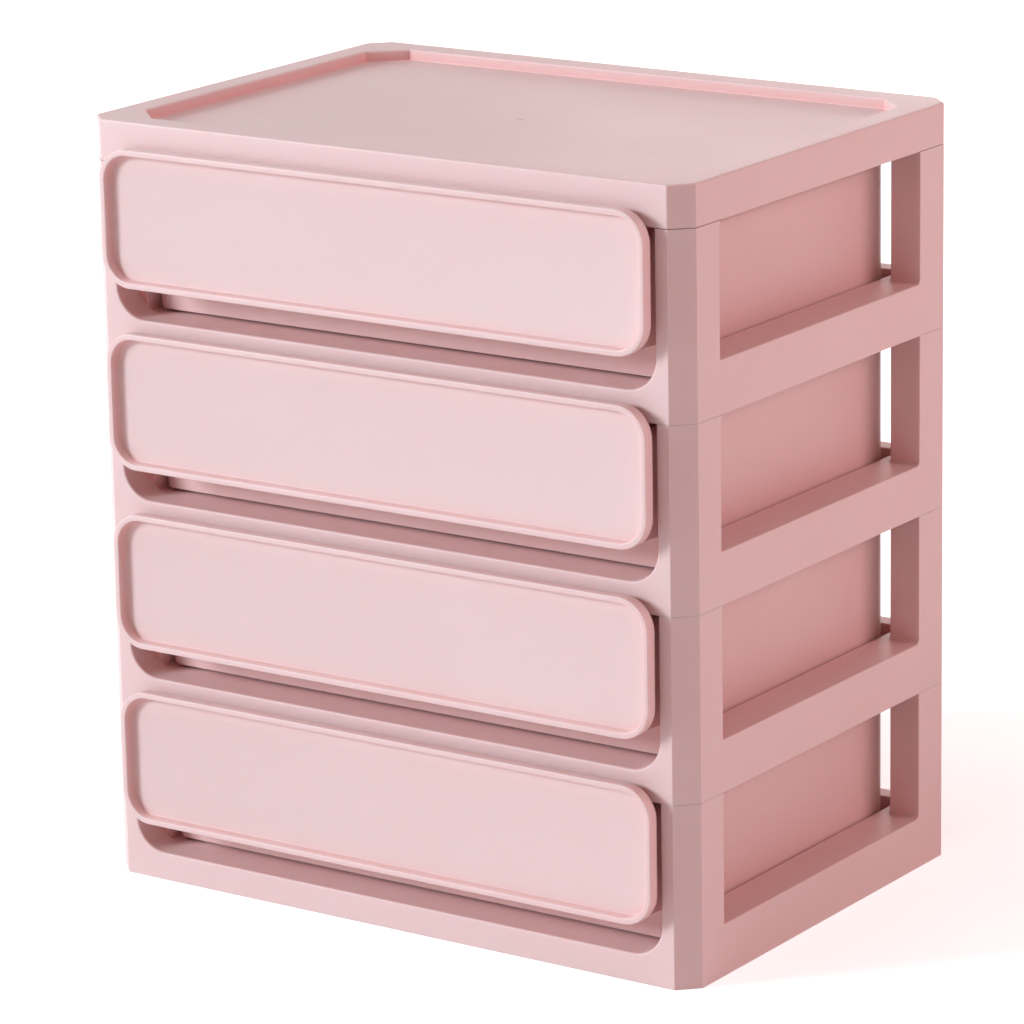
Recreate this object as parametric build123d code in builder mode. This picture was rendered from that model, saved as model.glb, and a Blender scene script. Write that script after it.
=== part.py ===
from build123d import *
import os
from math import sqrt

# Desktop organizer of moulded plastic: four stacked tier frames, a cover with a shallow tray and
# four drawers. Millimetres, +Z up, drawers open towards -Y, origin at the middle of the base.

# Cabinet
width = 260.0
depth = 184.0  # front face to back face, without the drawer fronts
tier_count = 4
tier_height = 68.6  # one frame, from seam to seam
cover_height = 15.6
corner_chamfer = 7.3  # legs of the chamfered vertical corners
wall = 2.2  # moulded wall of the frames and the cover
near = 0.01  # how close an edge lies to a plane to count as on it

# Tier frame
post_width = 12.5
front_post_depth = 22.0
back_post_depth = 24.5
front_rail_height = 10.75  # the floor is level with the front rail's top
front_wall_depth = 12.0  # wall round the drawer opening
opening_radius = 12.0  # lower corners of the drawer opening
opening_edge_round = 0.8
side_rail_height = 19.5  # the back rail is as high
side_rail_width = 17.1  # wider than the posts, which leaves a ledge along the drawer
back_rail_depth = 8.0
window_front_radius = 2.0
window_back_radius = 3.0
peg_headroom = 2.5  # over a peg in the cover's socket
peg_clearance = 0.3
peg_lead = 0.8  # chamfer that leads a peg into its socket

# Ribs under the floors and the cover
rib_width = 1.6
rib_height = 4.0
long_rib_count = 3
cross_rib_count = 2
long_rib_pitch = 74.0
cross_rib_pitch = 60.0

# Runners that carry a drawer
runner_width = 5.0
runner_height = 0.75
runner_spacing = 150.0
runner_setback = 4.0  # behind the box's lower front wall, so that the runners' ends are out of sight

# Drawer box
slide_clearance = 0.25  # box bottom above the runners
side_clearance = 1.0  # box side to ledge
box_setback = 16.0  # lower front wall behind the cabinet's front face
box_rear_gap = 1.5  # box back to the back rail, which stops it
box_wall = 1.8
box_front_radius = 5.0  # upright corners of the lower front wall
box_back_radius = 17.0
box_edge_radius = 4.0  # lower edges along the sides, which clear the opening's round corners
box_headroom = 4.75  # box rim to the seam above
pocket_rise = 1.5  # finger pocket behind the front, above the front's lower edge
hood_radius = 3.0  # upright corners of the box above the finger pocket

# Drawer front
front_gap = 2.5  # cabinet's front face to the back of a drawer front
front_skin = 1.2  # plate behind the sunk field
front_recess = 3.8  # depth of the sunk field
front_overlap_side = 0.4  # beyond the opening, each side
front_overlap_top = 6.9  # above the seam
finger_slot = 13.2  # from the floor to the front's lower edge
front_corner_radius = 12.0
front_rim_width = 2.2
front_edge_chamfer = 0.3
front_back_chamfer = 0.8

# Snap tabs between a drawer front and its box
tab_count = 4
tab_spacing = 56.0
tab_width = 10.0
tab_thickness = 1.8
tab_nose = 1.0
tab_hook_length = 2.5
tab_clearance = 0.2

# Tray in the cover
tray_rim = 10.7
tray_depth = 4.3
tray_chamfer = 12.5
cover_edge_round = 0.8

# Places across the cabinet, worked out from the sizes
front_thickness = front_recess + front_skin
front_projection = front_gap + front_thickness
y_front = (front_projection - depth) / 2
y_back = y_front + depth
y_mid = (y_front + y_back) / 2
opening_half = width / 2 - post_width
bay_half = width / 2 - side_rail_width
bay_front = y_front + front_wall_depth
bay_back = y_back - back_rail_depth
window_front = y_front + front_post_depth
window_back = y_back - back_post_depth
box_half = bay_half - side_clearance
box_front = y_front + box_setback
box_back = bay_back - box_rear_gap
runner_front = box_front + runner_setback
front_face = y_front - front_projection
front_seat = front_face + front_thickness  # back of a drawer front, where its box begins

# Heights in the lowest tier and in the cover
floor = front_rail_height
box_bottom = floor + runner_height + slide_clearance
box_rim = tier_height - box_headroom
front_low = floor + finger_slot
front_high = tier_height + front_overlap_top
pocket_top = front_low + pocket_rise
tab_level = (pocket_top + box_rim) / 2
cover_base = tier_count * tier_height
cover_top = cover_base + cover_height
cover_hollow = cover_height - tray_depth - wall
peg_height = cover_hollow - peg_headroom


# Plan of the cabinet with its chamfered corners, drawn in by the inset
def outline(inset):
    with BuildSketch() as plan:
        with Locations((0, y_mid)):
            Rectangle(width - 2 * inset, depth - 2 * inset)
        chamfer(plan.vertices(), corner_chamfer - inset * (2 - sqrt(2)))
    return plan.sketch


# Plan of the two side walls that become the posts, drawn in by the inset on every side
def side_wall_plan(inset):
    with BuildSketch() as plan:
        add(outline(inset))
        with Locations((0, y_mid)):
            Rectangle(2 * (opening_half + inset), depth, mode=Mode.SUBTRACT)
    return plan.sketch


# Plan of the four corner posts, drawn in by the inset on every side
def post_plan(inset):
    with BuildSketch() as plan:
        add(side_wall_plan(inset))
        with Locations((0, (window_front + window_back) / 2)):
            Rectangle(width, window_back - window_front + 2 * inset, mode=Mode.SUBTRACT)
    return plan.sketch


# Plan of the hollows inside the two side rails and the back rail
def rail_core_plan():
    with BuildSketch() as plan:
        add(outline(wall))
        with Locations((0, y_mid)):
            Rectangle(2 * (bay_half + wall), depth, mode=Mode.SUBTRACT)
        with Locations((0, (y_front + bay_front + wall) / 2)):
            Rectangle(width, bay_front + wall - y_front, mode=Mode.SUBTRACT)
        with Locations((0, (bay_back + y_back) / 2)):
            Rectangle(2 * bay_half, back_rail_depth - 2 * wall)
    return plan.sketch


# Plan of a grid of ribs from the front skirt to the back skirt
def rib_plan(field_width):
    with BuildSketch() as plan:
        with Locations((0, y_mid)):
            with GridLocations(long_rib_pitch, 0, long_rib_count, 1):
                Rectangle(rib_width, depth - 2 * wall)
            with GridLocations(0, cross_rib_pitch, 1, cross_rib_count):
                Rectangle(field_width, rib_width)
    return plan.sketch


# Plan of a drawer box behind the given front, drawn in by the inset
def box_plan(front, front_radius, inset):
    with BuildSketch() as plan:
        with Locations((0, (front + box_back) / 2)):
            Rectangle(2 * (box_half - inset), box_back - front - 2 * inset)
        fillet(plan.vertices().group_by(Axis.Y)[0], front_radius - inset)
        fillet(plan.vertices().group_by(Axis.Y)[-1], box_back_radius - inset)
    return plan.sketch


# Block of a drawer box with the hood over its finger pocket, drawn in by the inset except at the rim
def box_block(inset):
    with BuildPart() as block:
        with BuildSketch(Plane.XY.offset(box_bottom + inset)):
            add(box_plan(box_front, box_front_radius, inset))
        extrude(amount=box_rim - box_bottom - inset)
        with BuildSketch(Plane.XY.offset(pocket_top + inset)):
            add(box_plan(front_seat, hood_radius, inset))
        extrude(amount=box_rim - pocket_top - inset)
        with BuildSketch(Plane.XZ.offset(-front_seat)) as section:
            with Locations((0, (box_bottom + inset + box_rim) / 2)):
                Rectangle(2 * (box_half - inset), box_rim - box_bottom - inset)
            fillet(section.vertices().group_by(Axis.Z)[0], box_edge_radius - inset)
        extrude(amount=front_seat - box_back, mode=Mode.INTERSECT)
    return block.part


cabinet_plan = outline(0)
post_cores = post_plan(wall)

# One tier frame: rails, floor and corner posts in one moulding, hollow from below
with BuildPart() as tier:
    # Tray as high as the side rails, wall round the drawer opening, side walls
    with BuildSketch():
        add(cabinet_plan)
    extrude(amount=side_rail_height)
    with BuildSketch():
        add(cabinet_plan)
        with Locations((0, (y_front + bay_front) / 2)):
            Rectangle(width, front_wall_depth, mode=Mode.INTERSECT)
    extrude(amount=floor + opening_radius)
    with BuildSketch():
        add(side_wall_plan(0))
    extrude(amount=tier_height)

    # Side windows, open at the top until the next piece closes them
    with BuildSketch(Plane.YZ) as window:
        with Locations(((window_front + window_back) / 2, (side_rail_height + tier_height) / 2)):
            Rectangle(window_back - window_front, tier_height - side_rail_height)
        fillet(window.vertices().group_by(Axis.Z)[0].sort_by(Axis.Y)[0], window_front_radius)
        fillet(window.vertices().group_by(Axis.Z)[0].sort_by(Axis.Y)[-1], window_back_radius)
    extrude(amount=width / 2, both=True, mode=Mode.SUBTRACT)

    # Drawer opening and the bay behind it
    with BuildSketch(Plane.XZ.offset(-y_front)) as opening:
        with Locations((0, (floor + tier_height) / 2)):
            Rectangle(2 * opening_half, tier_height - floor)
        fillet(opening.vertices().group_by(Axis.Z)[0], opening_radius)
    extrude(amount=-front_wall_depth, mode=Mode.SUBTRACT)
    with BuildSketch(Plane.XY.offset(floor)):
        with Locations((0, (bay_front + bay_back) / 2)):
            Rectangle(2 * bay_half, bay_back - bay_front)
    extrude(amount=side_rail_height - floor, mode=Mode.SUBTRACT)

    # Soft edge round the drawer opening
    edge = tier.edges().filter_by_position(Axis.Y, y_front - near, y_front + near)
    edge = edge.filter_by_position(Axis.X, -opening_half - near, opening_half + near)
    edge = edge.filter_by_position(Axis.Z, near, tier_height - near)
    fillet(edge, opening_edge_round)

    # Hollows of the posts and the rails, and the space under the floor
    with BuildSketch():
        add(post_cores)
    extrude(amount=tier_height - wall, mode=Mode.SUBTRACT)
    with BuildSketch():
        add(rail_core_plan())
    extrude(amount=side_rail_height - wall, mode=Mode.SUBTRACT)
    with BuildSketch():
        with Locations((0, y_mid)):
            Rectangle(2 * bay_half, depth - 2 * wall)
    extrude(amount=floor - wall, mode=Mode.SUBTRACT)
    with BuildSketch(Plane.XY.offset(floor - wall)):
        add(rib_plan(2 * bay_half))
    extrude(amount=-rib_height)

    # Runners along the floor, up to the back rail
    with BuildSketch(Plane.XY.offset(floor)):
        with Locations((0, (runner_front + bay_back) / 2)):
            with GridLocations(runner_spacing, 0, 2, 1):
                Rectangle(runner_width, bay_back - runner_front)
    extrude(amount=runner_height)

    # Pegs that stand in the hollow posts of the next piece
    with BuildSketch(Plane.XY.offset(tier_height)):
        add(post_plan(wall + peg_clearance))
    extrude(amount=peg_height)
    chamfer(tier.faces().group_by(Axis.Z)[-1].edges(), peg_lead)

# Cover: a skirt over the pegs and a shallow tray with a raised rim
with BuildPart() as cover:
    with BuildSketch(Plane.XY.offset(cover_base)):
        add(cabinet_plan)
    extrude(amount=cover_height)
    with BuildSketch(Plane.XY.offset(cover_top)) as tray:
        with Locations((0, y_mid)):
            Rectangle(width - 2 * tray_rim, depth - 2 * tray_rim)
        chamfer(tray.vertices(), tray_chamfer)
    extrude(amount=-tray_depth, mode=Mode.SUBTRACT)
    fillet(cover.faces().sort_by(Axis.Z)[-1].edges(), cover_edge_round)

    # Hollow below, with the posts' plan left standing as sockets for the pegs
    with BuildSketch(Plane.XY.offset(cover_base)):
        add(outline(wall))
        add(post_plan(0), mode=Mode.SUBTRACT)
    extrude(amount=cover_hollow, mode=Mode.SUBTRACT)
    with BuildSketch(Plane.XY.offset(cover_base)):
        add(post_cores)
    extrude(amount=cover_hollow, mode=Mode.SUBTRACT)
    with BuildSketch(Plane.XY.offset(cover_base + cover_hollow)):
        add(rib_plan(2 * opening_half))
    extrude(amount=-rib_height)

# Drawer box: open on top, with a finger pocket cut in under a hood that carries the front
with BuildPart() as box:
    add(box_block(0))
    add(box_block(box_wall), mode=Mode.SUBTRACT)

    # Slots for the front's snap tabs, with room below for a tab to bend
    slot_low = tab_level - tab_thickness / 2 - tab_nose - tab_clearance
    slot_high = tab_level + tab_thickness / 2 + tab_clearance
    with BuildSketch(Plane.XZ.offset(-front_seat)):
        with Locations((0, (slot_low + slot_high) / 2)):
            with GridLocations(tab_spacing, 0, tab_count, 1):
                Rectangle(tab_width + 2 * tab_clearance, slot_high - slot_low)
    extrude(amount=-box_wall, mode=Mode.SUBTRACT)

# Drawer front: a plate with a raised rim round a sunk field, and snap tabs on its back
with BuildPart() as panel:
    panel_width = 2 * (opening_half + front_overlap_side)
    panel_height = front_high - front_low
    with BuildSketch(Plane.XZ.offset(-front_face)):
        with Locations((0, (front_low + front_high) / 2)):
            RectangleRounded(panel_width, panel_height, front_corner_radius)
    extrude(amount=-front_thickness)
    with BuildSketch(Plane.XZ.offset(-front_face)):
        with Locations((0, (front_low + front_high) / 2)):
            field_width = panel_width - 2 * front_rim_width
            field_height = panel_height - 2 * front_rim_width
            RectangleRounded(field_width, field_height, front_corner_radius - front_rim_width)
    extrude(amount=-front_recess, mode=Mode.SUBTRACT)
    chamfer(panel.faces().filter_by(Axis.Y).sort_by(Axis.Y)[0].edges(), front_edge_chamfer)
    chamfer(panel.faces().filter_by(Axis.Y).sort_by(Axis.Y)[-1].edges(), front_back_chamfer)

    # Snap tabs: a tongue through the box's wall and a nose that catches behind it
    tab_under = tab_level - tab_thickness / 2
    tab_over = tab_level + tab_thickness / 2
    catch = front_seat + box_wall + tab_clearance
    tip = catch + tab_hook_length
    first_tab = -tab_spacing * (tab_count - 1) / 2
    for tab in range(tab_count):
        with BuildSketch(Plane.YZ.offset(first_tab + tab * tab_spacing)):
            with BuildLine():
                Polyline(
                    (front_seat, tab_under),
                    (tip, tab_under),
                    (tip, tab_level),
                    (catch, tab_over + tab_nose),
                    (catch, tab_over),
                    (front_seat, tab_over),
                    close=True,
                )
            make_face()
        extrude(amount=tab_width / 2, both=True)

os.makedirs("parts", exist_ok=True)

cover.part.label = "top_cover"
export_step(cover.part, "parts/top_cover.step")

# The tier frame, the drawer box and the drawer front repeat at each level
repeated = {"tier_frame": tier.part, "drawer_box": box.part, "drawer_front": panel.part}
for level in range(tier_count):
    for name, piece in repeated.items():
        placed = Pos(0, 0, level * tier_height) * piece
        placed.label = f"{name}_{level + 1}"
        export_step(placed, f"parts/{placed.label}.step")
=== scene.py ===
import bpy
import bmesh
import math
from mathutils import Matrix, Vector


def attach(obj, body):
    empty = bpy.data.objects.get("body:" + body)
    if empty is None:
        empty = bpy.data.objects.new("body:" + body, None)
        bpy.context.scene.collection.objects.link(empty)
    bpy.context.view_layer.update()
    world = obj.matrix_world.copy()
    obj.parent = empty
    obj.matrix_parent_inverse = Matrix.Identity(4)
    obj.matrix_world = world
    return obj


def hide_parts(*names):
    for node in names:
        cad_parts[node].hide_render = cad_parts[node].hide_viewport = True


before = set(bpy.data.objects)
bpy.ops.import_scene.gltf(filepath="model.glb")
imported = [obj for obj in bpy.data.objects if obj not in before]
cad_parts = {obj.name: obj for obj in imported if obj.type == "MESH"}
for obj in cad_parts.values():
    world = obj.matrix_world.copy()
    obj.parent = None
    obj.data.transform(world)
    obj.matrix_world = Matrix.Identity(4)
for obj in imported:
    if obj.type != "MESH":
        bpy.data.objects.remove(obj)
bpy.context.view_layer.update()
mm = 0.001
print("frame loaded:", len(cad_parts), "nodes")


# sRGB hex to the linear colour that shaders take
def linearColour(hexCode):
    parts = [int(hexCode[i:i + 2], 16) / 255 for i in (1, 3, 5)]
    return [*(p / 12.92 if p <= 0.04045 else ((p + 0.055) / 1.055) ** 2.4 for p in parts), 1.0]


# adds a node, sets its options, and sets or links its inputs
def addNode(tree, kind, options=None, inputs=None):
    node = tree.nodes.new(kind)
    for name, value in (options or {}).items():
        setattr(node, name, value)
    for socket, value in (inputs or {}).items():
        if isinstance(value, bpy.types.NodeSocket):
            tree.links.new(value, node.inputs[socket])
        else:
            node.inputs[socket].default_value = value
    return node


def emptyMaterial(name):
    material = bpy.data.materials.new(name)
    material.use_nodes = True
    material.node_tree.nodes.clear()
    return material, material.node_tree


# polypropylene, injection moulded in a spark-eroded steel mould: satin with a fine even grain and faint
# cloudy flow marks in the pigment; light that enters it spreads a little and comes out redder; slits and
# inner corners also get painted shade, a deeper red mixed into the base colour where the piece's own walls
# close round
def mouldedPolypropylene(name, finish):
    material, tree = emptyMaterial(name)
    place = addNode(tree, "ShaderNodeTexCoord").outputs["Object"]
    cloud = addNode(tree, "ShaderNodeTexNoise", inputs={
        "Vector": place, "Scale": 1 / (finish["cloudSize"] * mm),
        "Detail": finish["cloudDetail"], "Roughness": finish["cloudBreakup"]})
    grain = addNode(tree, "ShaderNodeTexNoise", inputs={
        "Vector": place, "Scale": 1 / (finish["grainSize"] * mm),
        "Detail": finish["grainDetail"], "Roughness": finish["grainBreakup"]})
    pigment = addNode(tree, "ShaderNodeMix", {"data_type": "RGBA"}, {
        "Factor": cloud.outputs["Fac"],
        6: linearColour(finish["colour"]), 7: linearColour(finish["cloudColour"])})
    # painted shade: the less open air round a point of this piece, the more of the deep red colour is mixed
    # into the base colour
    openness = addNode(tree, "ShaderNodeAmbientOcclusion", {
        "samples": finish["paintedShadeSamples"], "only_local": True}, {"Distance": finish["paintedShadeReach"] * mm})
    paintedShadeFade = addNode(tree, "ShaderNodeMapRange", inputs={
        "Value": openness.outputs["AO"], "From Min": finish["paintedShadeFull"], "From Max": finish["paintedShadeNone"]})
    paintedNookShade = addNode(tree, "ShaderNodeMix", {"data_type": "RGBA"}, {
        "Factor": paintedShadeFade.outputs["Result"], 6: linearColour(finish["paintedShadeColour"]), 7: pigment.outputs[2]})
    gloss = addNode(tree, "ShaderNodeMapRange", inputs={
        "Value": cloud.outputs["Fac"], "From Min": finish["cloudLow"], "From Max": finish["cloudHigh"],
        "To Min": finish["roughness"] - finish["roughnessSpread"],
        "To Max": finish["roughness"] + finish["roughnessSpread"]})
    bump = addNode(tree, "ShaderNodeBump", inputs={
        "Height": grain.outputs["Fac"], "Strength": finish["grainStrength"],
        "Distance": finish["grainDepth"] * mm})
    shader = addNode(tree, "ShaderNodeBsdfPrincipled", inputs={
        "Base Color": paintedNookShade.outputs[2], "Roughness": gloss.outputs["Result"], "Normal": bump.outputs["Normal"],
        "IOR": finish["ior"], "Subsurface Weight": finish["translucency"],
        "Subsurface Radius": finish["glowSpread"], "Subsurface Scale": finish["glowDepth"] * mm})
    addNode(tree, "ShaderNodeOutputMaterial", inputs={"Surface": shader.outputs["BSDF"]})
    return material


pinkPlastic = dict(
    colour="#efcdcb", cloudColour="#edc8c6",
    cloudSize=60.0, cloudDetail=3.0, cloudBreakup=0.45, cloudLow=0.3, cloudHigh=0.7,  # flow marks, mm across
    # real grain is about 0.1 mm, drawn coarser so that it shows
    grainSize=0.9, grainDetail=2.0, grainBreakup=0.6, grainStrength=0.12, grainDepth=0.03,
    roughness=0.46, roughnessSpread=0.03, ior=1.49,
    translucency=0.3, glowDepth=2.5, glowSpread=(1.0, 0.35, 0.3),  # red goes deepest
    # painted shade in nooks: its colour, how far to look for the piece's own walls, and the share of open air
    # at which the painted shade is full and at which it is gone
    paintedShadeColour="#f57c72", paintedShadeReach=14.0, paintedShadeSamples=6, paintedShadeFull=0.05, paintedShadeNone=0.65,
)
framePlastic = mouldedPolypropylene("satinPolypropyleneFrame", pinkPlastic)
boxPlastic = mouldedPolypropylene("satinPolypropyleneBox", dict(
    pinkPlastic, colour="#edc7c4", cloudColour="#ebc2bf", roughness=0.5))
frontPlastic = mouldedPolypropylene("satinPolypropyleneFront", dict(pinkPlastic, roughness=0.42))
print("materials made")


# makes an object from a finished bmesh and gives it its material
def placePiece(work, pieceName, material):
    mesh = bpy.data.meshes.new(pieceName)
    work.to_mesh(mesh)
    work.free()
    mesh.materials.append(material)
    piece = bpy.data.objects.new(pieceName, mesh)
    bpy.context.scene.collection.objects.link(piece)
    return piece


# the plain mesh that a modifier gives takes the place of the object's own mesh
def applyModifier(piece, pieceName):
    graph = bpy.context.evaluated_depsgraph_get()
    finished = bpy.data.meshes.new_from_object(piece.evaluated_get(graph))
    old = piece.data
    piece.modifiers.clear()
    piece.data = finished
    bpy.data.meshes.remove(old)
    finished.name = pieceName


# joins flat neighbouring triangles into one face, but not round a hole
def joinFlatFaces(work, angle):
    work.normal_update()
    flat = math.cos(math.radians(angle))
    seen = set()
    regions = []
    for first in work.faces:
        if first in seen:
            continue
        seen.add(first)
        region = [first]
        for member in region:
            for edge in member.edges:
                for other in edge.link_faces:
                    if other not in seen and other.normal.dot(first.normal) > flat:
                        seen.add(other)
                        region.append(other)
        corners = {corner for member in region for corner in member.verts}
        sides = {side for member in region for side in member.edges}
        if len(region) > 1 and len(corners) - len(sides) + len(region) == 1:
            regions.append(region)
    for region in regions:
        bmesh.ops.dissolve_faces(work, faces=region, use_verts=False)


tierHeight = 68.6


# a copy of a CAD node with joined faces, small rounds on its sharp edges and a slit at its lower seam
def softenedPiece(nodeName, pieceName, material, edges):
    work = bmesh.new()
    work.from_mesh(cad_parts[nodeName].data)
    bmesh.ops.remove_doubles(work, verts=work.verts, dist=edges["weld"] * mm)
    seam = min(corner.co.z for corner in work.verts)
    for corner in work.verts:
        if corner.co.z < seam + edges["footReach"] * mm:
            corner.co.z += edges["slit"] * mm
    joinFlatFaces(work, edges["flattest"])
    for face in work.faces:
        face.smooth = True
    roundShare = work.edges.layers.float.new("bevel_weight_edge")
    for edge in work.edges:
        edge.smooth = edge.calc_face_angle(math.pi) < math.radians(edges["sharpest"])
        heights = [(corner.co.z - seam) / mm % tierHeight for corner in edge.verts]
        atSeam = all(min(height, tierHeight - height) < edges["seamReach"] for height in heights)
        edge[roundShare] = 0.0 if edge.smooth else edges["seamShare"] if atSeam else 1.0
    piece = placePiece(work, pieceName, material)
    rounds = piece.modifiers.new("edgeRounds", "BEVEL")
    rounds.width = edges["round"] * mm
    rounds.segments = edges["segments"]
    rounds.limit_method = "WEIGHT"
    rounds.use_clamp_overlap = False
    rounds.harden_normals = True
    rounds.miter_outer = "MITER_ARC"
    applyModifier(piece, pieceName)
    return piece


# points of a rounded rectangle that faces the front, counter-clockwise for someone in front
def frontLoop(work, plan, inset, y):
    half = plan["width"] / 2 - inset
    low, high = plan["low"] + inset, plan["high"] - inset
    radius = plan["cornerRadius"] - inset
    corners = []
    for quarter, (x, z) in enumerate([(half, high), (-half, high), (-half, low), (half, low)]):
        middle = (x - math.copysign(radius, x), z - radius if z == high else z + radius)
        for step in range(plan["cornerSteps"] + 1):
            turn = math.pi / 2 * (quarter + step / plan["cornerSteps"])
            across, height = middle[0] + radius * math.cos(turn), middle[1] + radius * math.sin(turn)
            corners.append(work.verts.new((across * mm, y * mm, height * mm)))
    return corners


# quarter circle of a section: from one side of a corner round to the other
def roundedCorner(centre, radius, start, steps):
    turns = [math.radians(start + 90 * step / steps) for step in range(steps + 1)]
    return [(centre[0] + radius * math.cos(turn), centre[1] + radius * math.sin(turn)) for turn in turns]


# drawer front: its section runs from the back over the rim into the sunk field, once round the outline
frontPanel = dict(width=235.8, low=23.95, high=75.5, cornerRadius=12.0, cornerSteps=16,
                  face=-95.75, thickness=5.0, recess=3.8, rimWidth=2.2, draft=0.15, sharpest=35,
                  rimRound=0.3, rimSteps=3, backRound=0.8, backSteps=4, fieldRound=0.5, fieldSteps=4)


def drawerFront(pieceName, material, plan):
    work = bmesh.new()
    rim, soft, back, field = plan["rimWidth"], plan["rimRound"], plan["backRound"], plan["fieldRound"]
    section = roundedCorner((back, plan["thickness"] - back), back, 90, plan["backSteps"])
    section += roundedCorner((soft, soft), soft, 180, plan["rimSteps"])
    section += roundedCorner((rim - soft, soft), soft, 270, plan["rimSteps"])
    hollow = (rim + plan["draft"] + field, plan["recess"] - field)
    section += [(2 * hollow[0] - x, y) for x, y in roundedCorner(hollow, field, 0, plan["fieldSteps"])]
    loops = [frontLoop(work, plan, inset, plan["face"] + y) for inset, y in section]
    for outer, inner in zip(loops, loops[1:]):
        for k in range(len(outer)):
            work.faces.new((outer[k - 1], outer[k], inner[k], inner[k - 1]))
    work.faces.new(loops[0])
    work.faces.new(loops[-1])
    bmesh.ops.recalc_face_normals(work, faces=work.faces)
    for face in work.faces:
        face.smooth = True
    for edge in work.edges:
        edge.smooth = edge.calc_face_angle(math.pi) < math.radians(plan["sharpest"])
    return placePiece(work, pieceName, material)


# row of copies of a mesh along X, the same distance to both sides of the middle
def rowTree():
    tree = bpy.data.node_groups.new("rowOfCopies", "GeometryNodeTree")
    tree.interface.new_socket("Geometry", in_out="INPUT", socket_type="NodeSocketGeometry")
    tree.interface.new_socket("Count", in_out="INPUT", socket_type="NodeSocketInt")
    tree.interface.new_socket("Spacing", in_out="INPUT", socket_type="NodeSocketFloat")
    tree.interface.new_socket("Plastic", in_out="INPUT", socket_type="NodeSocketMaterial")
    tree.interface.new_socket("Geometry", in_out="OUTPUT", socket_type="NodeSocketGeometry")
    given = addNode(tree, "NodeGroupInput").outputs
    gaps = addNode(tree, "ShaderNodeMath", {"operation": "SUBTRACT"}, {0: given["Count"], 1: 1.0})
    length = addNode(tree, "ShaderNodeMath", {"operation": "MULTIPLY"}, {
        0: gaps.outputs[0], 1: given["Spacing"]})
    left = addNode(tree, "ShaderNodeMath", {"operation": "MULTIPLY"}, {0: length.outputs[0], 1: -0.5})
    start = addNode(tree, "ShaderNodeCombineXYZ", inputs={"X": left.outputs[0]})
    step = addNode(tree, "ShaderNodeCombineXYZ", inputs={"X": given["Spacing"]})
    points = addNode(tree, "GeometryNodeMeshLine", {"mode": "OFFSET"}, {
        "Count": given["Count"], "Start Location": start.outputs[0], "Offset": step.outputs[0]})
    copies = addNode(tree, "GeometryNodeInstanceOnPoints", inputs={
        "Points": points.outputs["Mesh"], "Instance": given["Geometry"]})
    solid = addNode(tree, "GeometryNodeRealizeInstances", inputs={"Geometry": copies.outputs["Instances"]})
    dressed = addNode(tree, "GeometryNodeSetMaterial", inputs={
        "Geometry": solid.outputs["Geometry"], "Material": given["Plastic"]})
    addNode(tree, "NodeGroupOutput", inputs={"Geometry": dressed.outputs["Geometry"]})
    return tree


# snap tabs on the back of a drawer front, each a tongue with a nose that catches behind the box's wall
snapTabs = dict(count=4, spacing=56.0, width=10.0, root=-90.8, catch=-88.75, tip=-86.25,
                under=43.75, middle=44.65, over=45.55, nose=46.55)
tabRow = rowTree()


def snapTabRow(pieceName, material, plan, lift):
    work = bmesh.new()
    profile = [(plan["root"], plan["under"]), (plan["tip"], plan["under"]), (plan["tip"], plan["middle"]),
               (plan["catch"], plan["nose"]), (plan["catch"], plan["over"]), (plan["root"], plan["over"])]
    ends = [[work.verts.new((x * mm, y * mm, (z + lift) * mm)) for y, z in profile]
            for x in (-plan["width"] / 2, plan["width"] / 2)]
    for end in ends:
        work.faces.new(end)
    for k in range(len(profile)):
        work.faces.new((ends[0][k - 1], ends[0][k], ends[1][k], ends[1][k - 1]))
    bmesh.ops.recalc_face_normals(work, faces=work.faces)
    row = placePiece(work, pieceName, material)
    copies = row.modifiers.new("tabRow", "NODES")
    copies.node_group = tabRow
    settings = {"Count": plan["count"], "Spacing": plan["spacing"] * mm, "Plastic": material}
    for socket in tabRow.interface.items_tree:
        if socket.in_out == "INPUT" and socket.name in settings:
            copies[socket.identifier] = settings[socket.name]
    applyModifier(row, pieceName)
    return row


# one piece takes in the mesh of another
def mergePieces(piece, extra):
    work = bmesh.new()
    work.from_mesh(piece.data)
    work.from_mesh(extra.data)
    work.to_mesh(piece.data)
    work.free()
    bpy.data.objects.remove(extra)


# nub that the mould's gate leaves in the middle of the tray
gateNub = dict(x=0.0, y=3.75, base=285.65, height=0.3, radius=1.1, tipRadius=0.88, steps=24)


def gateMark(pieceName, material, plan):
    work = bmesh.new()
    middle = Matrix.Translation(Vector((plan["x"], plan["y"], plan["base"] + plan["height"] / 2)) * mm)
    bmesh.ops.create_cone(
        work, cap_ends=True, segments=plan["steps"], radius1=plan["radius"] * mm,
        radius2=plan["tipRadius"] * mm, depth=plan["height"] * mm, matrix=middle)
    return placePiece(work, pieceName, material)


levels = range(1, 5)
# rounds and slits in mm, angles in degrees; at a seam the round is only a share of the full one
softEdges = dict(round=0.35, segments=3, sharpest=35, flattest=0.3, weld=0.002,
                 slit=0.0, footReach=0.01, seamReach=0.4, seamShare=1.0)
seamEdges = dict(softEdges, seamShare=0.3)
coverEdges = dict(seamEdges, slit=0.25)
tierEdges = dict(seamEdges, slit=0.05)
recipes = {"top_cover": ("cover", framePlastic, "frame_plastic", "cabinet", coverEdges)}
for level in levels:
    edges = seamEdges if level == 1 else tierEdges  # the lowest tier stands on the floor
    recipes[f"tier_frame_{level}"] = (
        f"tierFrame{level}", framePlastic, "frame_plastic", "cabinet", edges)
    recipes[f"drawer_box_{level}"] = (
        f"drawerBox{level}", boxPlastic, "box_plastic", f"drawer_{level}", softEdges)
for nodeName, (pieceName, material, slotName, bodyName, edges) in recipes.items():
    piece = softenedPiece(nodeName, pieceName, material, edges)
    if nodeName == "top_cover":
        mergePieces(piece, gateMark("gateNub", material, gateNub))
    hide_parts(nodeName)
    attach(piece, bodyName)
    print(pieceName, len(piece.data.polygons), "faces")
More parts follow.
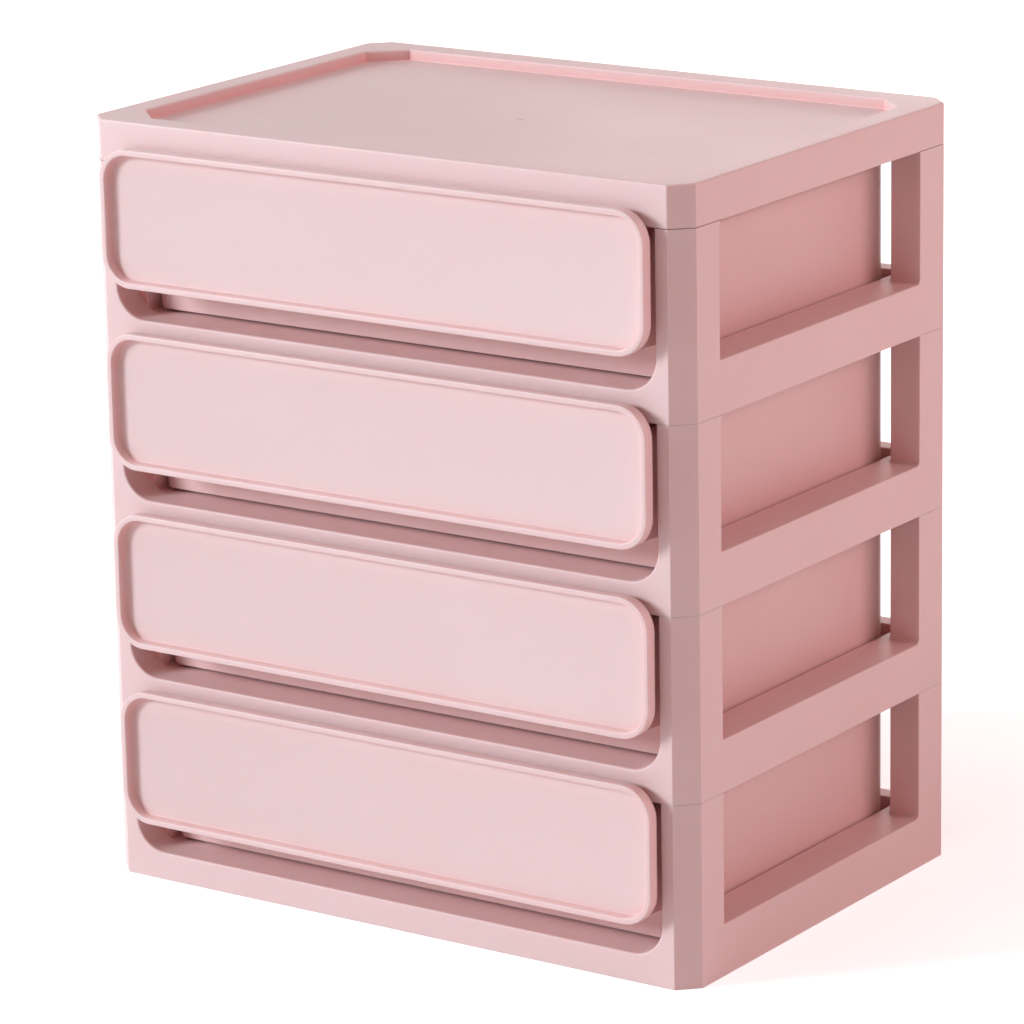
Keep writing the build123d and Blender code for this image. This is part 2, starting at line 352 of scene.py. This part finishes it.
for level in levels:
    lift = (level - 1) * tierHeight
    plan = dict(frontPanel, low=frontPanel["low"] + lift, high=frontPanel["high"] + lift)
    piece = drawerFront(f"drawerFront{level}", frontPlastic, plan)
    mergePieces(piece, snapTabRow(f"snapTabs{level}", frontPlastic, snapTabs, lift))
    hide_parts(f"drawer_front_{level}")
    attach(piece, f"drawer_{level}")
    print(piece.name, len(piece.data.polygons), "faces")
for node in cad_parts.values():  # the solids underneath have the same plastic
    node.data.materials.clear()
    node.data.materials.append(framePlastic)
print("pieces made")

# floor of white paper: pure white from a little way off, and near the part it shows the soft shadow
floorPlan = dict(radius=8.0, steps=96, colour="#fafafa", roughness=0.9, shine=0.1,
                 liftNear=0.55, liftFar=1.0, rampStart=0.2, rampEnd=0.75)
floorMesh = bpy.data.meshes.new("floor")
floorWork = bmesh.new()
bmesh.ops.create_circle(floorWork, cap_ends=True, segments=floorPlan["steps"], radius=floorPlan["radius"])
floorWork.to_mesh(floorMesh)
floorWork.free()
floor = bpy.data.objects.new("floor", floorMesh)
bpy.context.scene.collection.objects.link(floor)
paper, paperTree = emptyMaterial("whitePaper")
paperPath = addNode(paperTree, "ShaderNodeLightPath")
paperMirrored = addNode(paperTree, "ShaderNodeMath", {"operation": "ADD"}, {
    0: paperPath.outputs["Is Glossy Ray"], 1: paperPath.outputs["Is Transmission Ray"]})
paperSeen = addNode(paperTree, "ShaderNodeMath", {"operation": "ADD", "use_clamp": True}, {
    0: paperPath.outputs["Is Camera Ray"], 1: paperMirrored.outputs["Value"]})
paperPlace = addNode(paperTree, "ShaderNodeTexCoord").outputs["Object"]
paperReach = addNode(paperTree, "ShaderNodeVectorMath", {"operation": "LENGTH"}, {0: paperPlace})
paperLift = addNode(paperTree, "ShaderNodeMapRange", {"interpolation_type": "SMOOTHSTEP"}, {
    "Value": paperReach.outputs["Value"],
    "From Min": floorPlan["rampStart"], "From Max": floorPlan["rampEnd"],
    "To Min": floorPlan["liftNear"], "To Max": floorPlan["liftFar"]})
paperGlow = addNode(paperTree, "ShaderNodeMath", {"operation": "MULTIPLY"}, {
    0: paperSeen.outputs["Value"], 1: paperLift.outputs["Result"]})
paperShader = addNode(paperTree, "ShaderNodeBsdfPrincipled", inputs={
    "Base Color": linearColour(floorPlan["colour"]),
    "Roughness": floorPlan["roughness"], "Specular IOR Level": floorPlan["shine"],
    "Emission Color": (1, 1, 1, 1), "Emission Strength": paperGlow.outputs["Value"]})
addNode(paperTree, "ShaderNodeOutputMaterial", inputs={"Surface": paperShader.outputs["BSDF"]})
floorMesh.materials.append(paper)

# room light, and white where the camera or a reflection looks past the floor
roomLight = dict(colour="#ffd2c5", strength=0.18)
world = bpy.data.worlds.new("studio")
bpy.context.scene.world = world
world.use_nodes = True
worldTree = world.node_tree
worldTree.nodes.clear()
worldPath = addNode(worldTree, "ShaderNodeLightPath")
worldMirrored = addNode(worldTree, "ShaderNodeMath", {"operation": "ADD"}, {
    0: worldPath.outputs["Is Glossy Ray"], 1: worldPath.outputs["Is Transmission Ray"]})
worldSeen = addNode(worldTree, "ShaderNodeMath", {"operation": "ADD", "use_clamp": True}, {
    0: worldPath.outputs["Is Camera Ray"], 1: worldMirrored.outputs["Value"]})
dim = addNode(worldTree, "ShaderNodeBackground", inputs={
    "Color": linearColour(roomLight["colour"]), "Strength": roomLight["strength"]})
white = addNode(worldTree, "ShaderNodeBackground", inputs={"Color": (1, 1, 1, 1), "Strength": 1.0})
worldMix = addNode(worldTree, "ShaderNodeMixShader", inputs={
    0: worldSeen.outputs["Value"], 1: dim.outputs["Background"], 2: white.outputs["Background"]})
addNode(worldTree, "ShaderNodeOutputWorld", inputs={"Surface": worldMix.outputs["Shader"]})

# soft boxes: azimuth counts from straight in front of the drawers, positive towards the right
softBoxes = {
    "keyBox": dict(
        azimuth=-43, elevation=18, distance=4.0, size=(1.1, 1.1), power=137.0, colour="#e6f7ff"),
    "sideBox": dict(
        azimuth=112, elevation=20, distance=2.0, size=(0.9, 0.9), power=13.0, colour="#ffdbde"),
    "backBox": dict(
        azimuth=-160, elevation=8, distance=2.5, size=(1.2, 1.2), power=7.0, colour="#ffe9e4"),
    "overheadBox": dict(
        azimuth=-20, elevation=78, distance=2.5, size=(1.4, 1.4), power=15.5, colour="#e3faff"),
}
aim = Vector((0, 0.00375, 0.145))
for lampName, box in softBoxes.items():
    lamp = bpy.data.lights.new(lampName, "AREA")
    lamp.shape = "RECTANGLE"
    lamp.size, lamp.size_y = box["size"]
    lamp.energy = box["power"]
    lamp.color = linearColour(box["colour"])[:3]
    holder = bpy.data.objects.new(lampName, lamp)
    turn, rise = math.radians(box["azimuth"]), math.radians(box["elevation"])
    outward = Vector((math.sin(turn) * math.cos(rise), -math.cos(turn) * math.cos(rise), math.sin(rise)))
    holder.location = aim + outward * box["distance"]
    holder.rotation_euler = outward.to_track_quat("Z", "Y").to_euler()
    bpy.context.scene.collection.objects.link(holder)
print("stage and lights made")

# camera where the photograph was taken from
photoCamera = dict(azimuth=34.573, elevation=15.151, roll=-1.061, distance=1.926,
                   slideRight=-0.0053, slideUp=-0.0079, focalPixels=5160.9, imagePixels=1024, sensor=36.0)
turn, rise, tilt = (math.radians(photoCamera[part]) for part in ("azimuth", "elevation", "roll"))
back = Vector((math.sin(turn) * math.cos(rise), -math.cos(turn) * math.cos(rise), math.sin(rise)))
levelRight = Vector((math.cos(turn), math.sin(turn), 0))
levelUp = back.cross(levelRight)
right = levelRight * math.cos(tilt) + levelUp * math.sin(tilt)
up = levelUp * math.cos(tilt) - levelRight * math.sin(tilt)
eye = aim + right * photoCamera["slideRight"] + up * photoCamera["slideUp"] + back * photoCamera["distance"]
cameraData = bpy.data.cameras.new("photoCamera")
cameraData.sensor_width = photoCamera["sensor"]
cameraData.lens = photoCamera["focalPixels"] / photoCamera["imagePixels"] * photoCamera["sensor"]
camera = bpy.data.objects.new("photoCamera", cameraData)
camera.matrix_world = Matrix.Translation(eye) @ Matrix((right, up, back)).transposed().to_4x4()
bpy.context.scene.collection.objects.link(camera)
bpy.context.scene.camera = camera
bpy.context.scene.view_settings.view_transform = "Standard"
print("camera set")
